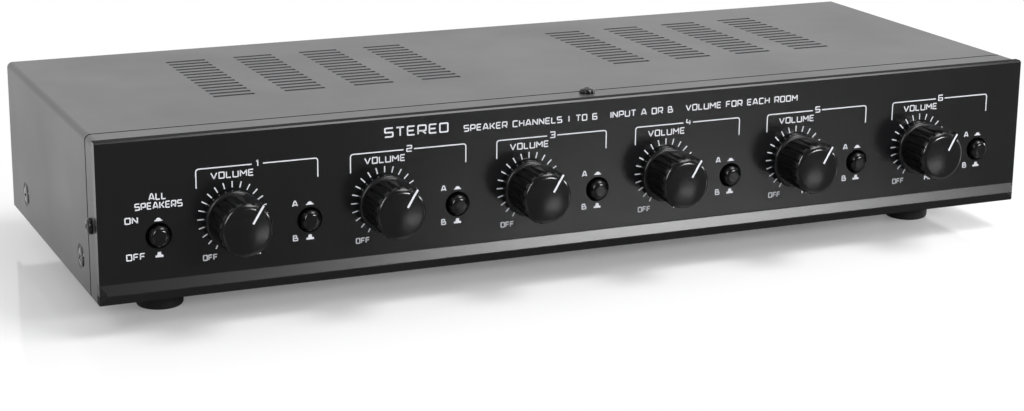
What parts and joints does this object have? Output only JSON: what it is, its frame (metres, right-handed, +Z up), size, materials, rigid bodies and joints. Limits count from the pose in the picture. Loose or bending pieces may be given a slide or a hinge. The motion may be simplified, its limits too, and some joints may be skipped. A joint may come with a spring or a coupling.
{
  "type": "speaker selector switch",
  "caption": "Low, wide audio component with a black face of round volume knobs and small push buttons, a vented sheet-metal cover, rubber feet and screw terminals behind.",
  "frame": {"origin": "middle of the whole box, on the surface that the feet stand on", "axes": "+X to the right along the front, +Y from the front with the knobs to the rear with the terminals, +Z up"},
  "size_m": [0.4344, 0.1936, 0.0817],
  "materials": {
    "face_black": "satin black",
    "case_paint": "satin dark grey powder coat",
    "knob_black": "satin moulded",
    "button_black": "glossy moulded",
    "plunger_white": "moulded",
    "shaft_steel": "turned",
    "switch_black": "moulded",
    "bright_nickel": "bright nickel plate",
    "black_zinc": "black",
    "board_green": "solder mask",
    "terminal_black": "moulded",
    "foot_rubber": "moulded",
    "core_steel": "stacked laminations",
    "coil_copper": "enamelled copper wire under tape"
  },
  "bodies": {
    "case": {"face_plate": "face_black", "front_frame": "case_paint", "top_cover": "case_paint", "base_pan": "case_paint", "rear_panel": "case_paint", "push_switches": "switch_black", "bush_fixings": "bright_nickel", "control_board": "board_green", "line_board": "board_green", "terminal_fixings": "bright_nickel", "side_screws": "bright_nickel", "black_screws": "black_zinc", "foot_screws": "black_zinc", "autoformer_cores": "core_steel", "autoformer_coils": "coil_copper", "autoformer_straps": "bright_nickel", "volume_switch_1": "switch_black", "volume_switch_2": "switch_black", "volume_switch_3": "switch_black", "volume_switch_4": "switch_black", "volume_switch_5": "switch_black", "volume_switch_6": "switch_black", "terminal_block_a": "terminal_black", "terminal_block_b": "terminal_black", "terminal_block_1": "terminal_black", "terminal_block_2": "terminal_black", "terminal_block_3": "terminal_black", "terminal_block_4": "terminal_black", "terminal_block_5": "terminal_black", "terminal_block_6": "terminal_black", "foot_front_left": "foot_rubber", "foot_front_right": "foot_rubber", "foot_rear_left": "foot_rubber", "foot_rear_right": "foot_rubber"},
    "volume_1": {"volume_knob_1": "knob_black", "volume_shaft_1": "shaft_steel"},
    "volume_2": {"volume_knob_2": "knob_black", "volume_shaft_2": "shaft_steel"},
    "volume_3": {"volume_knob_3": "knob_black", "volume_shaft_3": "shaft_steel"},
    "volume_4": {"volume_knob_4": "knob_black", "volume_shaft_4": "shaft_steel"},
    "volume_5": {"volume_knob_5": "knob_black", "volume_shaft_5": "shaft_steel"},
    "volume_6": {"volume_knob_6": "knob_black", "volume_shaft_6": "shaft_steel"},
    "button_all": {"button_cap_all": "button_black", "button_plunger_all": "plunger_white"},
    "button_1": {"button_cap_1": "button_black", "button_plunger_1": "plunger_white"},
    "button_2": {"button_cap_2": "button_black", "button_plunger_2": "plunger_white"},
    "button_3": {"button_cap_3": "button_black", "button_plunger_3": "plunger_white"},
    "button_4": {"button_cap_4": "button_black", "button_plunger_4": "plunger_white"},
    "button_5": {"button_cap_5": "button_black", "button_plunger_5": "plunger_white"},
    "button_6": {"button_cap_6": "button_black", "button_plunger_6": "plunger_white"}
  },
  "joints": [
    {"name": "volume_1_turn", "type": "hinge", "parent": "case", "child": "volume_1", "pos_m": [-0.1606, -0.0752, 0.0439], "axis": [0, 1, 0], "range_deg": [-185, 115]},
    {"name": "volume_2_turn", "type": "hinge", "parent": "case", "child": "volume_2", "pos_m": [-0.09625, -0.0752, 0.0439], "axis": [0, 1, 0], "range_deg": [-185, 115]},
    {"name": "volume_3_turn", "type": "hinge", "parent": "case", "child": "volume_3", "pos_m": [-0.0319, -0.0752, 0.0439], "axis": [0, 1, 0], "range_deg": [-185, 115]},
    {"name": "volume_4_turn", "type": "hinge", "parent": "case", "child": "volume_4", "pos_m": [0.03245, -0.0752, 0.0439], "axis": [0, 1, 0], "range_deg": [-185, 115]},
    {"name": "volume_5_turn", "type": "hinge", "parent": "case", "child": "volume_5", "pos_m": [0.0968, -0.0752, 0.0439], "axis": [0, 1, 0], "range_deg": [-185, 115]},
    {"name": "volume_6_turn", "type": "hinge", "parent": "case", "child": "volume_6", "pos_m": [0.16115, -0.0752, 0.0439], "axis": [0, 1, 0], "range_deg": [-185, 115]},
    {"name": "button_all_push", "type": "slide", "parent": "case", "child": "button_all", "axis": [0, 1, 0], "range_m": [0, 0.0028], "stiffness_N_per_m": 500, "springref_m": -0.001},
    {"name": "button_1_push", "type": "slide", "parent": "case", "child": "button_1", "axis": [0, 1, 0], "range_m": [0, 0.0028], "stiffness_N_per_m": 500, "springref_m": -0.001},
    {"name": "button_2_push", "type": "slide", "parent": "case", "child": "button_2", "axis": [0, 1, 0], "range_m": [0, 0.0028], "stiffness_N_per_m": 500, "springref_m": -0.001},
    {"name": "button_3_push", "type": "slide", "parent": "case", "child": "button_3", "axis": [0, 1, 0], "range_m": [0, 0.0028], "stiffness_N_per_m": 500, "springref_m": -0.001},
    {"name": "button_4_push", "type": "slide", "parent": "case", "child": "button_4", "axis": [0, 1, 0], "range_m": [0, 0.0028], "stiffness_N_per_m": 500, "springref_m": -0.001},
    {"name": "button_5_push", "type": "slide", "parent": "case", "child": "button_5", "axis": [0, 1, 0], "range_m": [0, 0.0028], "stiffness_N_per_m": 500, "springref_m": -0.001},
    {"name": "button_6_push", "type": "slide", "parent": "case", "child": "button_6", "axis": [0, 1, 0], "range_m": [0, 0.0028], "stiffness_N_per_m": 500, "springref_m": -0.001}
  ]
}
